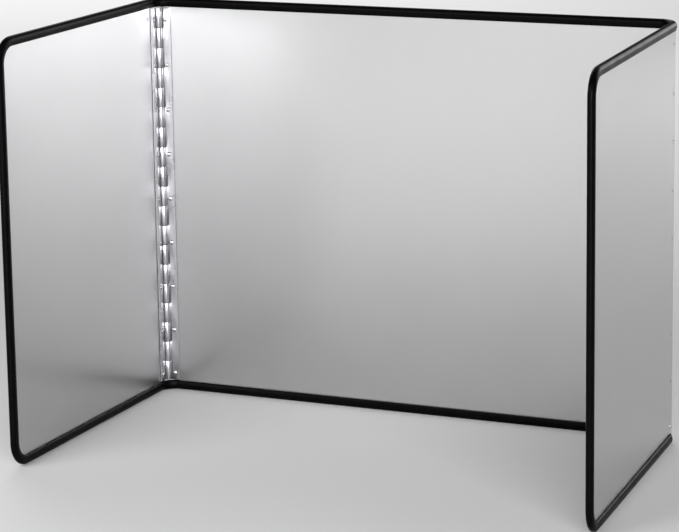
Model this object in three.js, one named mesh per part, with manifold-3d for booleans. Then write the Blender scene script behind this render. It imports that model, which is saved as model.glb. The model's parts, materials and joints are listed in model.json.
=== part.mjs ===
// Three-panel folding splatter guard: a back panel with a hinged wing on each side, bound in rubber
// edge trim. Millimetres, +Z up. The origin is the middle of the back panel's lower edge, on the
// surface that the guard stands on. The back panel stands in the XZ plane and the wings reach
// towards -Y, round the pan.

import * as THREE from "three";
import { mergeVertices } from "three/addons/utils/BufferGeometryUtils.js";
import Module from "manifold-3d";

const wasm = await Module();
wasm.setup();

// Driving dimensions
const HEIGHT = 241; // overall, over the trim
const CORNER_SPAN = 324; // between the mid-planes of the two wings when they stand square
const WING_REACH = 191; // from the back panel's mid-plane to the wing trim's outer face
const LEFT_ANGLE = 89; // degrees between the left wing and the back panel, as stored
const RIGHT_ANGLE = 95;
const SHEET = 0.6; // thickness of the panels
const CORNER_RADIUS = 15; // outer radius of the trim at the wings' free corners

// Edge trim, a U-shaped channel
const TRIM_DEPTH = 5.4; // from its outer face to its lips
const TRIM_THICKNESS = 4.4;
const TRIM_WEB = 1.6; // rubber between the outer face and the floor of the slot
const TRIM_ROUNDING = 1.6;
const SLOT_CLEARANCE = 0.3; // between the sheet and each wall of the slot

// Continuous hinge
const KNUCKLES = 19;
const KNUCKLE_PITCH = 12.05;
const KNUCKLE_GAP = 0.3;
const BARREL_RADIUS = 1.85;
const LEAF = 0.8; // thickness of the leaf and of the knuckle's wall
const LEAF_REACH = 7; // from the hinge axis to the leaf's edge
const NOTCH_REACH = 2.6; // how far the leaf is cut back beside the other leaf's knuckles
const PIN_RADIUS = 0.92;
const LEAF_SEAT = 0.2; // between the leaf and the sheet
const PANEL_START = 0.4; // from the hinge axis to the sheet's edge

// Rivets through each leaf and its sheet
const RIVETS = 9;
const RIVET_PITCH = 27.2;
const RIVET_DROP = 1.5; // how far the row's middle is below the guard's middle
const RIVET_REACH = 4.1; // from the hinge axis
const RIVET_HEAD_RADIUS = 1.4;
const RIVET_HEAD_HEIGHT = 0.7;
const RIVET_SHANK_RADIUS = 0.7;
const RIVET_TAIL_RADIUS = 1.2;
const RIVET_TAIL_HEIGHT = 0.4;
const RIVET_HOLE_RADIUS = 0.85;
const RIVET_SEAT = 0.1; // under the head and under the tail

// The trim's flexible bend, where it passes over a hinge
const BEND_START = 6.2; // from the hinge axis to the bend's end
const BEND_JOINT = 0.3; // between the bend's end and the next length of trim
const BEND_STEPS = 7;

// Worked out from the above
const AXIS_TO_SHEET = BARREL_RADIUS + LEAF_SEAT + SHEET / 2; // hinge axis to the sheet's mid-plane
const AXIS_X = CORNER_SPAN / 2 - AXIS_TO_SHEET;
const WING_LENGTH = WING_REACH - AXIS_TO_SHEET; // from the hinge axis
const TRIM_START = BEND_START + BEND_JOINT;
const SHEET_INSET = TRIM_WEB + SLOT_CLEARANCE; // from the trim's outer face to the sheet's edge
const HINGE_LENGTH = KNUCKLES * KNUCKLE_PITCH;
const HINGE_BASE = (HEIGHT - HINGE_LENGTH) / 2;
const RELIEF_HEIGHT = TRIM_DEPTH + SLOT_CLEARANCE; // sheet's corner, cut away under the bend
const ROUND = 10; // sides of the barrel and the pin
const HOLE_ROUND = 8;

const steel = new THREE.MeshStandardMaterial({ color: 0xc4c5c8, metalness: 1, roughness: 0.3 });
const bright = new THREE.MeshStandardMaterial({ color: 0xd6d6da, metalness: 1, roughness: 0.15 });
const rubber = new THREE.MeshStandardMaterial({ color: 0x0c0c0d, metalness: 0, roughness: 0.4 });

// Solids ------------------------------------------------------------------------------------------

// A closed geometry as a manifold-3d solid.
function solid(geometry) {
  const bare = new THREE.BufferGeometry();
  bare.setAttribute("position", geometry.getAttribute("position"));
  bare.setIndex(geometry.index);
  const merged = mergeVertices(bare, 1e-4);
  return new wasm.Manifold(
    new wasm.Mesh({
      numProp: 3,
      vertProperties: new Float32Array(merged.attributes.position.array),
      triVerts: new Uint32Array(merged.index.array),
    }),
  );
}

function geometryOf(manifold) {
  const mesh = manifold.getMesh();
  const geometry = new THREE.BufferGeometry();
  geometry.setAttribute("position", new THREE.BufferAttribute(mesh.vertProperties, 3));
  geometry.setIndex(new THREE.BufferAttribute(mesh.triVerts, 1));
  geometry.computeVertexNormals();
  return geometry;
}

function named(name, geometry, material) {
  const mesh = new THREE.Mesh(geometry, material);
  mesh.name = name;
  return mesh;
}

function box(x0, x1, y0, y1, z0, z1) {
  const geometry = new THREE.BoxGeometry(x1 - x0, y1 - y0, z1 - z0);
  return solid(geometry.translate((x0 + x1) / 2, (y0 + y1) / 2, (z0 + z1) / 2));
}

// A cylinder along Z, round (x, y).
function post(radius, z0, z1, sides, x = 0, y = 0) {
  const geometry = new THREE.CylinderGeometry(radius, radius, z1 - z0, sides);
  return solid(geometry.rotateX(Math.PI / 2).translate(x, y, (z0 + z1) / 2));
}

// A hole along Y, for a rivet at (x, z).
function rivetHole(x, z) {
  const length = 4 * AXIS_TO_SHEET;
  const geometry = new THREE.CylinderGeometry(RIVET_HOLE_RADIUS, RIVET_HOLE_RADIUS, length, HOLE_ROUND);
  return solid(geometry.translate(x, 0, z));
}

// A shape drawn in X and Z, given a thickness that is centred on y. The bevel rounds its edges.
function plate(shape, thickness, y, rounding = 0) {
  const geometry = new THREE.ExtrudeGeometry(shape, {
    depth: thickness - 2 * rounding,
    curveSegments: 5,
    bevelEnabled: rounding > 0,
    bevelThickness: rounding,
    bevelSize: rounding,
    bevelOffset: -rounding,
    bevelSegments: 2,
  });
  return solid(geometry.translate(0, 0, rounding - thickness / 2).rotateX(Math.PI / 2).translate(0, y, 0));
}

const rivetHeights = Array.from(
  { length: RIVETS },
  (_, i) => HEIGHT / 2 - RIVET_DROP + (i - (RIVETS - 1) / 2) * RIVET_PITCH,
);

// Wing outlines, in a wing's own frame: X runs from the hinge axis to the free edge --------------

// The wing's rectangle, inset from the trim's outer face, with its two free corners rounded.
function wingOutline(start, inset) {
  const end = WING_LENGTH - inset;
  const radius = CORNER_RADIUS - inset;
  const low = inset;
  const high = HEIGHT - inset;
  return new THREE.Shape()
    .moveTo(start, low)
    .lineTo(end - radius, low)
    .absarc(end - radius, low + radius, radius, -Math.PI / 2, 0)
    .lineTo(end, high - radius)
    .absarc(end - radius, high - radius, radius, 0, Math.PI / 2)
    .lineTo(start, high);
}

// Cuts a sheet's two corners by the hinge back to below the trim's bend, and drills its rivet holes.
function finishSheet(sheet, y) {
  let cut = sheet
    .subtract(box(-1, TRIM_START, y - 1, y + 1, -1, RELIEF_HEIGHT))
    .subtract(box(-1, TRIM_START, y - 1, y + 1, HEIGHT - RELIEF_HEIGHT, HEIGHT + 1));
  for (const z of rivetHeights) cut = cut.subtract(rivetHole(RIVET_REACH, z));
  return cut;
}

function wingPanel() {
  const sheet = plate(wingOutline(PANEL_START, SHEET_INSET), SHEET, -AXIS_TO_SHEET);
  return geometryOf(finishSheet(sheet, -AXIS_TO_SHEET));
}

// The wing's U-shaped run of trim: along its top, down its free edge and back along its foot.
function wingTrim() {
  const outline = wingOutline(0, 0);
  const window = wingOutline(-TRIM_DEPTH, TRIM_DEPTH);
  const blank = plate(outline, TRIM_THICKNESS, -AXIS_TO_SHEET, TRIM_ROUNDING);
  const opening = plate(window, 2 * TRIM_THICKNESS, -AXIS_TO_SHEET);
  const slot = plate(wingOutline(-TRIM_DEPTH, TRIM_WEB), SHEET + 2 * SLOT_CLEARANCE, -AXIS_TO_SHEET);
  const hingeSide = box(-TRIM_DEPTH, TRIM_START, -4 * AXIS_TO_SHEET, AXIS_TO_SHEET, -1, HEIGHT + 1);
  return geometryOf(blank.subtract(opening).subtract(slot).subtract(hingeSide));
}

// Back panel and its two straight lengths of trim, in the part's frame ----------------------------

function backPanel() {
  const half = AXIS_X - PANEL_START;
  let sheet = box(-half, half, -SHEET / 2, SHEET / 2, SHEET_INSET, HEIGHT - SHEET_INSET);
  for (const side of [-1, 1]) {
    const [outer, inner] = [side * (AXIS_X + 1), side * (AXIS_X - TRIM_START)];
    const [x0, x1] = [Math.min(outer, inner), Math.max(outer, inner)];
    sheet = sheet
      .subtract(box(x0, x1, -1, 1, -1, RELIEF_HEIGHT))
      .subtract(box(x0, x1, -1, 1, HEIGHT - RELIEF_HEIGHT, HEIGHT + 1));
    for (const z of rivetHeights) {
      sheet = sheet.subtract(rivetHole(side * (AXIS_X - RIVET_REACH), z));
    }
  }
  return geometryOf(sheet);
}

// The channel's section: x is the depth from its outer face and y the thickness.
function trimSection() {
  const [half, r, d] = [TRIM_THICKNESS / 2, TRIM_ROUNDING, TRIM_DEPTH];
  const slot = SHEET / 2 + SLOT_CLEARANCE;
  const lip = (half - slot) / 2;
  return new THREE.Shape()
    .moveTo(TRIM_WEB, -slot)
    .lineTo(d - lip, -slot)
    .absarc(d - lip, -slot - lip, lip, Math.PI / 2, -Math.PI / 2, true)
    .lineTo(r, -half)
    .absarc(r, -half + r, r, -Math.PI / 2, -Math.PI, true)
    .lineTo(0, half - r)
    .absarc(r, half - r, r, Math.PI, Math.PI / 2, true)
    .lineTo(d - lip, half)
    .absarc(d - lip, half - lip, lip, Math.PI / 2, -Math.PI / 2, true)
    .lineTo(TRIM_WEB, slot);
}

const BOTTOM = new THREE.Matrix4().makeBasis(
  new THREE.Vector3(0, 0, 1),
  new THREE.Vector3(0, 1, 0),
  new THREE.Vector3(-1, 0, 0),
);

// The straight length of trim along the back panel's foot.
function backTrim() {
  const length = 2 * (AXIS_X - TRIM_START);
  const geometry = new THREE.ExtrudeGeometry(trimSection(), {
    depth: length,
    bevelEnabled: false,
    curveSegments: 2,
  });
  return geometry.translate(0, 0, -length / 2).applyMatrix4(BOTTOM);
}

// Hinge, in a frame on its axis: X runs along the back panel, which lies towards +Y ---------------

// One leaf. `first` is 0 for the leaf that has the end knuckles and 1 for the one between them.
function hingeLeaf(first) {
  const [y0, y1] = [BARREL_RADIUS - LEAF, BARREL_RADIUS];
  let leaf = box(NOTCH_REACH, LEAF_REACH, y0, y1, HINGE_BASE, HINGE_BASE + HINGE_LENGTH);
  for (let i = first; i < KNUCKLES; i += 2) {
    const z0 = HINGE_BASE + i * KNUCKLE_PITCH + KNUCKLE_GAP / 2;
    const z1 = z0 + KNUCKLE_PITCH - KNUCKLE_GAP;
    leaf = leaf
      .add(box(0, NOTCH_REACH + LEAF, y0, y1, z0, z1))
      .add(post(BARREL_RADIUS / Math.cos(Math.PI / ROUND), z0, z1, ROUND));
  }
  leaf = leaf.subtract(post(BARREL_RADIUS - LEAF, 0, HEIGHT, ROUND));
  for (const z of rivetHeights) leaf = leaf.subtract(rivetHole(RIVET_REACH, z));
  return leaf;
}

function hingePin() {
  const geometry = new THREE.CylinderGeometry(PIN_RADIUS, PIN_RADIUS, HINGE_LENGTH, ROUND);
  return geometry.rotateX(Math.PI / 2).translate(0, 0, HEIGHT / 2);
}

// A domed rivet through a leaf and its sheet, its head towards the hinge axis.
function rivet() {
  const headSeat = AXIS_TO_SHEET - SHEET / 2 - LEAF_SEAT - LEAF - RIVET_SEAT;
  const tailSeat = AXIS_TO_SHEET + SHEET / 2 + RIVET_SEAT;
  const profile = [
    new THREE.Vector2(0, headSeat - RIVET_HEAD_HEIGHT),
    new THREE.Vector2(RIVET_HEAD_RADIUS * 0.7, headSeat - RIVET_HEAD_HEIGHT * 0.7),
    new THREE.Vector2(RIVET_HEAD_RADIUS, headSeat),
    new THREE.Vector2(RIVET_SHANK_RADIUS, headSeat),
    new THREE.Vector2(RIVET_SHANK_RADIUS, tailSeat),
    new THREE.Vector2(RIVET_TAIL_RADIUS, tailSeat),
    new THREE.Vector2(RIVET_TAIL_RADIUS, tailSeat + RIVET_TAIL_HEIGHT),
    new THREE.Vector2(0, tailSeat + RIVET_TAIL_HEIGHT),
  ];
  return new THREE.LatheGeometry(profile, HOLE_ROUND);
}

// The trim's bend at the foot of a hinge whose wing stands at `angle` to the back panel.
function trimBend(angle) {
  const onBack = new THREE.Vector3(BEND_START, AXIS_TO_SHEET, 0);
  const onWing = new THREE.Vector3(BEND_START, -AXIS_TO_SHEET, 0);
  const turn = new THREE.Matrix4().makeRotationZ(-angle);
  onWing.applyMatrix4(turn);
  const alongWing = new THREE.Vector3(1, 0, 0).applyMatrix4(turn);
  const pull = 0.6 * BEND_START;
  const path = new THREE.CubicBezierCurve3(
    onBack,
    onBack.clone().add(new THREE.Vector3(-pull, 0, 0)),
    onWing.clone().addScaledVector(alongWing, -pull),
    onWing,
  );
  const section = trimSection();
  const drop = new THREE.Matrix4().makeScale(-1, 1, 1); // the path's normal points down
  const flipped = new THREE.Shape(
    section.getPoints(2).map((p) => {
      const v = new THREE.Vector3(p.x, p.y, 0).applyMatrix4(drop);
      return new THREE.Vector2(v.x, v.y);
    }),
  );
  return new THREE.ExtrudeGeometry(flipped, { steps: BEND_STEPS, extrudePath: path });
}

// Assembly ----------------------------------------------------------------------------------------

const backGeometry = backTrim();
const panelGeometry = wingPanel();
const trimGeometry = wingTrim();
const endLeaf = geometryOf(hingeLeaf(0).mirror([0, 1, 0]));
const midLeaf = geometryOf(hingeLeaf(1));
const pinGeometry = hingePin();
const rivetGeometry = rivet();

// A row of rivets, 1 at the foot. `side` is 1 on the back panel and -1 on a wing.
function rivetRow(name, side) {
  return rivetHeights.map((z, i) => {
    const mesh = named(name + "_rivet_" + (i + 1), rivetGeometry, bright);
    mesh.position.set(RIVET_REACH, 0, z);
    mesh.rotation.z = side > 0 ? 0 : Math.PI;
    return mesh;
  });
}

function wing(name, angle) {
  const group = new THREE.Group();
  group.rotation.z = -angle;
  group.add(
    named(name + "_wing_panel", panelGeometry, steel),
    named(name + "_wing_trim", trimGeometry, rubber),
    named(name + "_wing_hinge_leaf", endLeaf, bright),
    ...rivetRow(name + "_wing", -1),
  );
  return group;
}

// Everything on one hinge. The right side is the left side mirrored.
function side(name, degrees, mirror) {
  const angle = THREE.MathUtils.degToRad(degrees);
  const group = new THREE.Group();
  group.position.set(mirror * -AXIS_X, -AXIS_TO_SHEET, 0);
  group.scale.x = mirror;
  const footBend = trimBend(angle);
  const topBend = named(name + "_top_trim_bend", footBend, rubber);
  topBend.position.z = HEIGHT;
  topBend.scale.z = -1;
  group.add(
    named(name + "_back_hinge_leaf", midLeaf, bright),
    named(name + "_hinge_pin", pinGeometry, bright),
    ...rivetRow(name + "_back", 1),
    named(name + "_foot_trim_bend", footBend, rubber),
    topBend,
    wing(name, angle),
  );
  return group;
}

const guard = new THREE.Group();
const topTrim = named("back_top_trim", backGeometry, rubber);
topTrim.position.z = HEIGHT;
topTrim.rotation.y = Math.PI;
guard.add(
  named("back_panel", backPanel(), steel),
  named("back_foot_trim", backGeometry, rubber),
  topTrim,
  side("left", LEFT_ANGLE, 1),
  side("right", RIGHT_ANGLE, -1),
);

export default guard;
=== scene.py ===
"""Looks of the folding splatter guard: satin steel panels, polished continuous hinges, rubber trim."""

import json
import math

import bpy
from mathutils import Matrix, Vector


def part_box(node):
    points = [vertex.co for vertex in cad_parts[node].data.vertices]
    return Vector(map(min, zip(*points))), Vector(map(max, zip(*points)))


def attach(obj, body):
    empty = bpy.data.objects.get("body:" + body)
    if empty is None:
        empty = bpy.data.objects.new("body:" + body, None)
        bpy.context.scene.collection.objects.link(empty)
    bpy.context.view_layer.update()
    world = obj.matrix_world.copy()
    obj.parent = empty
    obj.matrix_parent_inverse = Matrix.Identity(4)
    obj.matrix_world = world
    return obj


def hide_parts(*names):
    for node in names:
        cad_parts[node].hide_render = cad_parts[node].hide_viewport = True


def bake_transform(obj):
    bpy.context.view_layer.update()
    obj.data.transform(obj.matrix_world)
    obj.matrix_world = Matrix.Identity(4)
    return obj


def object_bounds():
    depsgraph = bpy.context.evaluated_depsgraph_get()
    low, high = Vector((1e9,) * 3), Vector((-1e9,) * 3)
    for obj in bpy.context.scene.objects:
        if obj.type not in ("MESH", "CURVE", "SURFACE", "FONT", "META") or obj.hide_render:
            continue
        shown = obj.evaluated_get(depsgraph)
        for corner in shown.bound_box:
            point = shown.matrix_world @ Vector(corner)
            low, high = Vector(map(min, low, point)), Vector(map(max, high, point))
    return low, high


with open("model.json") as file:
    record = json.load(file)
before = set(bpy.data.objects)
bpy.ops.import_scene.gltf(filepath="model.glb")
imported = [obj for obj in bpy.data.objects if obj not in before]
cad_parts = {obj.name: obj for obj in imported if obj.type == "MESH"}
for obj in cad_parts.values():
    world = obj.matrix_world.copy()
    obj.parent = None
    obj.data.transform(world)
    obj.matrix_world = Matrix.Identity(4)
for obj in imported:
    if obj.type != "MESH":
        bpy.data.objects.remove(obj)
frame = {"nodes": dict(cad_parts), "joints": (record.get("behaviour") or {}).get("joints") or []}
CAD_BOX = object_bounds()

# Sizes, in metres. The ones that CAD holds are read from its nodes. ------------------------------

MM = 0.001
SIDES = {"left": 1, "right": -1}  # the right side is the left side mirrored
WING_ANGLES = {"left": 89, "right": 95}  # degrees between the wing and the back panel

foot_low, foot_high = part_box("back_foot_trim")
panel_low, panel_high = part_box("back_panel")
leaf_low, leaf_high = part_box("left_back_hinge_leaf")
HEIGHT = CAD_BOX[1].z
SHEET = panel_high.y - panel_low.y
TRIM_DEPTH = foot_high.z - foot_low.z
TRIM_THICKNESS = foot_high.y - foot_low.y
HINGE_BASE = leaf_low.z
HINGE_TOP = leaf_high.z

AXES = {joint["child"].split("_")[0]: Vector(joint["pos_m"]) for joint in frame["joints"]}
AXIS_TO_SHEET = -AXES["left"].y  # from the hinge axis to the sheet's mid-plane
LEAF_REACH = leaf_high.x - AXES["left"].x
TRIM_START = foot_low.x - AXES["left"].x  # from the hinge axis to the first rigid trim

CORNER_RADIUS = 15 * MM
TRIM_NOSE = 3.0 * MM  # how deep the trim's rounded outer face runs
TRIM_TAPER = 0.4 * MM  # what each lip loses in thickness from there to its edge
TRIM_WEB = 1.7 * MM  # rubber between the outer face and the floor of the slot
SLOT_CLEARANCE = 0.12 * MM  # between the sheet and each lip
PANEL_START = 0.4 * MM  # from the hinge axis to the wing panel's near edge
LEAF = 0.8 * MM
BARREL_RADIUS = 1.85 * MM
PIN_RADIUS = 0.92 * MM
LEAF_SEAT = 0.2 * MM
KNUCKLES = 19
KNUCKLE_GAP = 0.3 * MM
NOTCH_REACH = 2.6 * MM
RIVETS = 9
RIVET_PITCH = 27.2 * MM
RIVET_DROP = 1.5 * MM  # how far the row's middle is below the guard's middle
RIVET_REACH = 4.1 * MM


def hinge_frame(side):
    """A frame on the hinge axis: X runs along the back panel, and Y away from the pan."""
    axis = AXES[side]
    return Matrix.Translation((axis.x, axis.y, 0)) @ Matrix.Diagonal((SIDES[side], 1, 1, 1))


def wing_frame(side):
    """The same frame turned on to the wing: X runs along the wing, and its sheet is at -Y."""
    return hinge_frame(side) @ Matrix.Rotation(-math.radians(WING_ANGLES[side]), 4, "Z")


def wing_length(side):
    """From the hinge axis to the outer face of the trim on the wing's free edge."""
    low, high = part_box(side + "_wing_panel")
    sheet_inset = panel_low.z - foot_low.z
    return math.hypot(high.x - low.x - SHEET, high.y - low.y) + PANEL_START + sheet_inset


# Mesh helpers ------------------------------------------------------------------------------------


def smooth(obj, angle=35):
    """Shades round faces smooth and leaves edges sharper than the angle crisp."""
    for polygon in obj.data.polygons:
        polygon.use_smooth = True
    limit = math.radians(angle)
    obj.data.set_sharp_from_angle(angle=limit)
    return obj


def mesh_object(name, points, faces, matrix=None):
    """A new mesh, moved by the matrix. A mirroring matrix also turns the faces over."""
    matrix = matrix or Matrix.Identity(4)
    if matrix.determinant() < 0:
        faces = [face[::-1] for face in faces]
    mesh = bpy.data.meshes.new(name)
    mesh.from_pydata([matrix @ Vector(point) for point in points], [], faces)
    mesh.validate()
    obj = bpy.data.objects.new(name, mesh)
    bpy.context.scene.collection.objects.link(obj)
    return obj


def sweep(name, section, stations, matrix=None):
    """Carries a closed section along the stations, each (point, depth axis, across axis)."""
    count = len(section)
    points = [p + depth * u + across * v for p, depth, across in stations for u, v in section]
    faces = []
    for ring in range(len(stations) - 1):
        for i in range(count):
            j = (i + 1) % count
            low, high = ring * count, (ring + 1) * count
            faces.append((low + i, low + j, high + j, high + i))
    last = (len(stations) - 1) * count
    faces.append(tuple(range(count))[::-1])
    faces.append(tuple(last + i for i in range(count)))
    return mesh_object(name, points, faces, matrix)


def lathe(name, profile, steps, matrix=None):
    """Turns a profile of (radius, height) round the Z axis. Its ends are on the axis."""
    points = []
    for step in range(steps):
        turn = 2 * math.pi * step / steps
        for radius, height in profile[1:-1]:
            points.append((radius * math.cos(turn), radius * math.sin(turn), height))
    rows = len(profile) - 2
    first, last = len(points), len(points) + 1
    points += [(0, 0, profile[0][1]), (0, 0, profile[-1][1])]
    faces = []
    for step in range(steps):
        here, there = step * rows, ((step + 1) % steps) * rows
        faces.append((first, there, here))
        for row in range(rows - 1):
            faces.append((here + row, there + row, there + row + 1, here + row + 1))
        faces.append((last, here + rows - 1, there + rows - 1))
    return mesh_object(name, points, faces, matrix)


def arc(centre, radius, start, end, steps):
    """Points on an arc, with angles in degrees."""
    points = []
    for step in range(steps + 1):
        angle = math.radians(start + (end - start) * step / steps)
        points.append((centre[0] + radius * math.cos(angle), centre[1] + radius * math.sin(angle)))
    return points


# Rubber edge trim --------------------------------------------------------------------------------

TRIM_STEP = 20 * MM  # between the rings of a straight length
CORNER_STEPS = 14
BEND_STEPS = 24
UP, DOWN = Vector((0, 0, 1)), Vector((0, 0, -1))


def trim_section():
    """The channel's round nose and two lips: (depth from the outer face, distance across)."""
    half = TRIM_THICKNESS / 2
    slot = SHEET / 2 + SLOT_CLEARANCE
    lip = (half - TRIM_TAPER - slot) / 2
    near = arc((TRIM_DEPTH - lip, -slot - lip), lip, 90, -90, 8)
    far = arc((TRIM_DEPTH - lip, slot + lip), lip, 90, -90, 8)
    nose = [(TRIM_NOSE * (1 + x), half * y) for x, y in arc((0, 0), 1, -90, -270, 20)]
    return [(TRIM_WEB, -slot)] + near + nose + far + [(TRIM_WEB, slot)]


def straight(start, end, depth, across):
    """Stations along a straight length."""
    steps = max(2, round((end - start).length / TRIM_STEP))
    return [(start.lerp(end, i / steps), depth, across) for i in range(steps + 1)]


def wing_stations(length):
    """Along the wing's top, down its free edge and back along its foot, in the wing's frame."""
    across = Vector((0, 1, 0))
    plane = Vector((0, -AXIS_TO_SHEET, 0))
    end = length - CORNER_RADIUS
    high = HEIGHT - CORNER_RADIUS
    tip = Vector((length, 0, high))
    toe = Vector((length, 0, CORNER_RADIUS))
    top = straight(Vector((TRIM_START, 0, HEIGHT)), Vector((end, 0, HEIGHT)), DOWN, across)
    edge = straight(tip, toe, Vector((-1, 0, 0)), across)
    foot = straight(Vector((end, 0, 0)), Vector((TRIM_START, 0, 0)), UP, across)
    corners = []
    for centre, start in ((Vector((end, 0, high)), 90), (Vector((end, 0, CORNER_RADIUS)), 0)):
        corner = []
        for step in range(1, CORNER_STEPS):
            angle = math.radians(start - 90 * step / CORNER_STEPS)
            outward = Vector((math.cos(angle), 0, math.sin(angle)))
            corner.append((centre + outward * CORNER_RADIUS, -outward, across))
        corners.append(corner)
    route = top + corners[0] + edge + corners[1] + foot
    return [(point + plane, depth, side) for point, depth, side in route]


def wing_trim(side):
    """The wing's U-shaped run of trim."""
    stations = wing_stations(wing_length(side))
    return sweep(side + "_wing_edge_trim", trim_section(), stations, wing_frame(side))


def back_trim(name, height, depth):
    """A straight length along the back panel, from one hinge's bend to the other's."""
    reach = -foot_low.x
    start, end = Vector((-reach, 0, height)), Vector((reach, 0, height))
    return sweep(name, trim_section(), straight(start, end, depth, Vector((0, depth.z, 0))))


def trim_bend(name, side, height, depth):
    """The length of trim that flexes over a hinge, from the back's trim to the wing's."""
    to_wing = hinge_frame(side).inverted() @ wing_frame(side)
    start = Vector((TRIM_START, AXIS_TO_SHEET, height))
    end = to_wing @ Vector((TRIM_START, -AXIS_TO_SHEET, height))
    along = (to_wing.to_3x3() @ Vector((1, 0, 0))).normalized()
    pull = 0.6 * TRIM_START
    knots = (start, start - Vector((pull, 0, 0)), end - along * pull, end)
    stations = []
    for step in range(BEND_STEPS + 1):
        t = step / BEND_STEPS
        weights = ((1 - t) ** 3, 3 * t * (1 - t) ** 2, 3 * t * t * (1 - t), t**3)
        slopes = (-((1 - t) ** 2), (1 - t) * (1 - 3 * t), t * (2 - 3 * t), t * t)
        point = sum((knot * weight for knot, weight in zip(knots, weights)), Vector())
        tangent = sum((knot * slope for knot, slope in zip(knots, slopes)), Vector()).normalized()
        stations.append((point, depth, depth.cross(tangent)))
    return sweep(name, trim_section(), stations, hinge_frame(side))


def flex(bend):
    """Bakes a bend's placement into its mesh; it does not follow the back or the wing as they turn."""
    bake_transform(bend)


# Continuous hinge --------------------------------------------------------------------------------


def leaf_strip():
    """The leaf's mid-line in plan, from its outer edge in to the hinge and round the pin."""
    radius = BARREL_RADIUS - LEAF / 2
    flat = [(LEAF_REACH, radius), (NOTCH_REACH, radius), (NOTCH_REACH / 2, radius)]
    return flat + arc((0, 0), radius, 90, 90 + 300, 28)


def hinge_leaf(name, first, matrix):
    """One leaf with its knuckles rolled round the pin. The leaf's outer face is at +Y."""
    strip = leaf_strip()
    pitch = (HINGE_TOP - HINGE_BASE) / KNUCKLES
    heights = [HINGE_BASE]
    knuckle_rows = []
    for i in range(first, KNUCKLES, 2):
        low = HINGE_BASE + i * pitch + KNUCKLE_GAP / 2
        high = low + pitch - KNUCKLE_GAP
        knuckle_rows.append(len(heights))
        heights += [low, high]
    heights.append(HINGE_TOP)
    points = [(x, y, z) for z in heights for x, y in strip]
    count = len(strip)
    faces = []
    for row in range(len(heights) - 1):
        columns = count - 1 if row in knuckle_rows else 1
        for i in range(columns):
            low, high = row * count + i, (row + 1) * count + i
            faces.append((low, low + 1, high + 1, high))
    leaf = mesh_object(name, points, faces, matrix)
    solidify = leaf.modifiers.new("thickness", "SOLIDIFY")
    solidify.thickness = LEAF
    solidify.offset = 0
    bevel = leaf.modifiers.new("broken edges", "BEVEL")
    bevel.width = 0.1 * MM
    bevel.segments = 2
    bevel.limit_method = "ANGLE"
    bevel.angle_limit = math.radians(50)
    return smooth(leaf)


def hinge_pin(side):
    """A plain pin whose two ends are lightly rounded."""
    radius, edge = PIN_RADIUS, 0.25 * MM
    profile = [(0, HINGE_BASE), (radius - edge, HINGE_BASE), (radius, HINGE_BASE + edge)]
    profile += [(radius, HINGE_TOP - edge), (radius - edge, HINGE_TOP), (0, HINGE_TOP)]
    return smooth(lathe(side + "_pin", profile, 32, hinge_frame(side)), 60)


def rivet(name, matrix):
    """A domed rivet, its head towards the hinge axis and a pressed tail behind the sheet."""
    seat = AXIS_TO_SHEET - SHEET / 2 - LEAF_SEAT - LEAF
    back = AXIS_TO_SHEET + SHEET / 2
    head, rise, tail = 1.4 * MM, 0.78 * MM, 1.15 * MM
    dome = [(head * math.cos(a), seat - rise * math.sin(a)) for a in (1.5, 1.2, 0.9, 0.6, 0.3)]
    profile = [(0, seat - rise)] + dome
    profile += [(head, seat - 0.1 * MM), (head, seat), (0.7 * MM, seat), (0.7 * MM, back)]
    profile += [(tail, back), (tail, back + 0.25 * MM), (0.8 * tail, back + 0.42 * MM)]
    profile += [(0.35 * tail, back + 0.34 * MM), (0, back + 0.3 * MM)]
    turned = matrix @ Matrix.Rotation(-math.pi / 2, 4, "X")
    return smooth(lathe(name, profile, 28, turned), 45)


# Materials ---------------------------------------------------------------------------------------


def new_material(name):
    """A node material, with its tree, its shader and the object's coordinates."""
    material = bpy.data.materials.new(name)
    material.use_nodes = True
    tree = material.node_tree
    shader = tree.nodes["Principled BSDF"]
    place = tree.nodes.new("ShaderNodeTexCoord").outputs["Object"]
    return material, tree, shader, place


def noise(tree, place, scale, stretch=(1, 1, 1), detail=3):
    """Noise on the object's coordinates, with `scale` lumps to the metre."""
    mapping = tree.nodes.new("ShaderNodeMapping")
    mapping.inputs["Scale"].default_value = stretch
    tree.links.new(place, mapping.inputs["Vector"])
    texture = tree.nodes.new("ShaderNodeTexNoise")
    texture.inputs["Scale"].default_value = scale
    texture.inputs["Detail"].default_value = detail
    tree.links.new(mapping.outputs["Vector"], texture.inputs["Vector"])
    return texture.outputs["Fac"]


def spread(tree, value, low, high):
    """Maps the middle of a noise's range to low..high."""
    node = tree.nodes.new("ShaderNodeMapRange")
    node.inputs["From Min"].default_value = 0.3
    node.inputs["From Max"].default_value = 0.7
    node.inputs["To Min"].default_value = low
    node.inputs["To Max"].default_value = high
    tree.links.new(value, node.inputs["Value"])
    return node.outputs["Result"]


def tint(tree, value, dark, light):
    """A colour between dark and light."""
    ramp = tree.nodes.new("ShaderNodeValToRGB")
    ramp.color_ramp.elements[0].position = 0.3
    ramp.color_ramp.elements[1].position = 0.7
    ramp.color_ramp.elements[0].color = (*dark, 1)
    ramp.color_ramp.elements[1].color = (*light, 1)
    tree.links.new(value, ramp.inputs["Fac"])
    return ramp.outputs["Color"]


def bump(tree, height, distance, strength, under=None):
    """A bump, over another bump if one is given."""
    node = tree.nodes.new("ShaderNodeBump")
    node.inputs["Distance"].default_value = distance
    node.inputs["Strength"].default_value = strength
    tree.links.new(height, node.inputs["Height"])
    if under:
        tree.links.new(under, node.inputs["Normal"])
    return node.outputs["Normal"]


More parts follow.
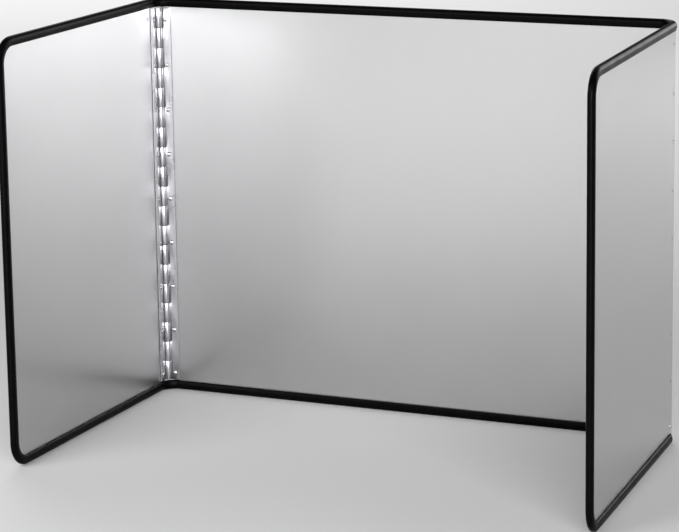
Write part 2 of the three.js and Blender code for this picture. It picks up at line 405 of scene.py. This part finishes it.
def satin_steel():
    """Thin satin sheet, with a fine upright grain and soft mottling."""
    material, tree, shader, place = new_material("satin_steel")
    shader.inputs["Metallic"].default_value = 1
    mottle = noise(tree, place, 18, detail=4)
    grain = noise(tree, place, 2600, stretch=(1, 1, 0.03), detail=2)
    colour = tint(tree, mottle, (0.515, 0.515, 0.52), (0.53, 0.53, 0.535))
    tree.links.new(colour, shader.inputs["Base Color"])
    tree.links.new(spread(tree, mottle, 0.28, 0.31), shader.inputs["Roughness"])
    tree.links.new(bump(tree, grain, 0.001 * MM, 0.1), shader.inputs["Normal"])
    return material


def polished_steel():
    """Bright hinge stock, with faint draw lines along its length and a little cloudiness."""
    material, tree, shader, place = new_material("polished_steel")
    shader.inputs["Metallic"].default_value = 1
    cloud = noise(tree, place, 120, detail=3)
    lines = noise(tree, place, 3000, stretch=(1, 1, 0.02), detail=2)
    colour = tint(tree, cloud, (0.50, 0.50, 0.52), (0.57, 0.57, 0.59))
    tree.links.new(colour, shader.inputs["Base Color"])
    tree.links.new(spread(tree, cloud, 0.26, 0.32), shader.inputs["Roughness"])
    tree.links.new(bump(tree, lines, 0.006 * MM, 0.4), shader.inputs["Normal"])
    return material


def black_rubber():
    """Extruded rubber with a dull gloss and a fine, slightly uneven skin."""
    material, tree, shader, place = new_material("black_rubber")
    cloud = noise(tree, place, 90, detail=4)
    skin = noise(tree, place, 1800, detail=3)
    colour = tint(tree, cloud, (0.0008, 0.0008, 0.0008), (0.0016, 0.0016, 0.0016))
    tree.links.new(colour, shader.inputs["Base Color"])
    tree.links.new(spread(tree, cloud, 0.34, 0.40), shader.inputs["Roughness"])
    shader.inputs["Specular IOR Level"].default_value = 0.04
    tree.links.new(bump(tree, skin, 0.02 * MM, 0.3), shader.inputs["Normal"])
    return material


def floor_material():
    """A plain pale floor, very slightly uneven in tone."""
    material, tree, shader, place = new_material("pale_floor")
    cloud = noise(tree, place, 2, detail=2)
    colour = tint(tree, cloud, (0.70, 0.70, 0.70), (0.72, 0.72, 0.72))
    tree.links.new(colour, shader.inputs["Base Color"])
    shader.inputs["Roughness"].default_value = 0.8
    shader.inputs["Specular IOR Level"].default_value = 0.1
    return material


def dress(obj, material):
    """Gives an object one material."""
    obj.data.materials.clear()
    obj.data.materials.append(material)
    return obj


# Assembly ----------------------------------------------------------------------------------------

STEEL = satin_steel()
HINGE = polished_steel()
RUBBER = black_rubber()


def settle(piece, body, material, slot, *nodes):
    """Gives a piece its material and says which body it rides on and which nodes it replaces."""
    dress(piece, material)
    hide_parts(*nodes)
    if body:
        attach(piece, body)
    return piece


def rivet_row(side, member, matrix):
    """The rivets through one leaf, numbered from the foot."""
    body = "back" if member == "back" else side + "_wing"
    for i in range(RIVETS):
        height = HEIGHT / 2 - RIVET_DROP + (i - (RIVETS - 1) / 2) * RIVET_PITCH
        spot = matrix @ Matrix.Translation((RIVET_REACH, 0, height))
        name = f"{side}_{member}_rivet_{i + 1}"
        settle(rivet(name + "_domed", spot), body, HINGE, "hinge", name)


def corner(side):
    """One hinge, with its rivets and the two bends of trim that cross it."""
    back, wing = hinge_frame(side), wing_frame(side)
    flipped = wing @ Matrix.Diagonal((1, -1, 1, 1))
    leaf = hinge_leaf(side + "_back_rolled_leaf", 1, back)
    settle(leaf, "back", HINGE, "hinge", side + "_back_hinge_leaf")
    leaf = hinge_leaf(side + "_wing_rolled_leaf", 0, flipped)
    settle(leaf, side + "_wing", HINGE, "hinge", side + "_wing_hinge_leaf")
    settle(hinge_pin(side), "back", HINGE, "hinge", side + "_hinge_pin")
    rivet_row(side, "back", back)
    rivet_row(side, "wing", flipped)
    for level, height, depth in (("foot", 0, UP), ("top", HEIGHT, DOWN)):
        bend = smooth(trim_bend(f"{side}_{level}_flexing_trim", side, height, depth))
        settle(bend, None, RUBBER, "trim", f"{side}_{level}_trim_bend")
        flex(bend)


def wing(side):
    """One wing's panel and the trim round its three free edges."""
    dress(frame["nodes"][side + "_wing_panel"], STEEL)
    trim = smooth(wing_trim(side))
    settle(trim, side + "_wing", RUBBER, "trim", side + "_wing_trim")


def back():
    """The back panel and the two straight lengths of its trim."""
    dress(frame["nodes"]["back_panel"], STEEL)
    foot = smooth(back_trim("back_foot_edge_trim", 0, UP))
    settle(foot, "back", RUBBER, "trim", "back_foot_trim")
    top = smooth(back_trim("back_top_edge_trim", HEIGHT, DOWN))
    settle(top, "back", RUBBER, "trim", "back_top_trim")


# Camera, light and floor -------------------------------------------------------------------------

LENS = 152.0  # mm
VIEW_AZIMUTH = 24.43  # degrees that the camera looks to the left of square on
VIEW_ELEVATION = 12.5
VIEW_ROLL = -0.84
CAMERA_PLACE = Vector((641 * MM, -1509 * MM, 453 * MM))
SENSOR_WIDTH = 36
FLOOR_HALF = 12
GUARD_MIDDLE = (0, 0, 0.15)


def add_camera():
    data = bpy.data.cameras.new("camera")
    data.lens = LENS
    data.sensor_width = SENSOR_WIDTH
    data.clip_start = 0.05
    camera = bpy.data.objects.new("camera", data)
    turn = Matrix.Rotation(math.radians(VIEW_AZIMUTH), 4, "Z")
    tilt = Matrix.Rotation(math.radians(90 - VIEW_ELEVATION), 4, "X")
    roll = Matrix.Rotation(math.radians(VIEW_ROLL), 4, "Z")
    camera.matrix_world = Matrix.Translation(CAMERA_PLACE) @ turn @ tilt @ roll
    bpy.context.scene.collection.objects.link(camera)
    bpy.context.scene.camera = camera


def area_light(name, place, target, size, power):
    """A soft box of light at a place, turned to its target, with its power in watts."""
    data = bpy.data.lights.new(name, "AREA")
    data.shape = "RECTANGLE"
    data.size, data.size_y = size
    data.energy = power
    light = bpy.data.objects.new(name, data)
    aim = (Vector(target) - Vector(place)).to_track_quat("-Z", "Y")
    light.matrix_world = Matrix.Translation(place) @ aim.to_matrix().to_4x4()
    bpy.context.scene.collection.objects.link(light)


def add_floor():
    half = FLOOR_HALF
    corners = [(-half, -half, 0), (half, -half, 0), (half, half, 0), (-half, half, 0)]
    floor = mesh_object("floor", corners, [(0, 1, 2, 3)])
    floor.location.z = CAD_BOX[0].z
    dress(floor, floor_material())


def add_light():
    world = bpy.data.worlds.new("studio")
    bpy.context.scene.world = world
    world.use_nodes = True
    background = world.node_tree.nodes["Background"]
    background.inputs["Color"].default_value = (1, 1, 1, 1)
    background.inputs["Strength"].default_value = 0.02
    area_light("front_softbox", (1.3, -2.1, 0.55), GUARD_MIDDLE, (1.8, 0.8), 70)
    area_light("front_right", (1.3, -1.7, 0.7), GUARD_MIDDLE, (0.9, 0.7), 5)
    area_light("front_left", (-0.5, -1.6, 0.35), GUARD_MIDDLE, (0.9, 0.5), 1.7)
    area_light("back_right", (0.6, 1.5, 0.4), GUARD_MIDDLE, (0.9, 0.5), 6.8)
    area_light("front_pool", (-0.5, -1.1, 0.7), (-0.5, -1.1, 0), (0.8, 0.8), 14.5)
    area_light("side_pool", (0.75, 0.8, 0.75), (0.75, 0.8, 0), (0.8, 1.2), 3.6)
    area_light("backdrop", (-1.6, 2.2, 1.6), (-1.6, 2.2, 0), (2.2, 2.5), 60)


back()
for side_name in SIDES:
    corner(side_name)
    wing(side_name)
add_floor()
add_light()
add_camera()
bpy.context.scene.view_settings.view_transform = "Standard"
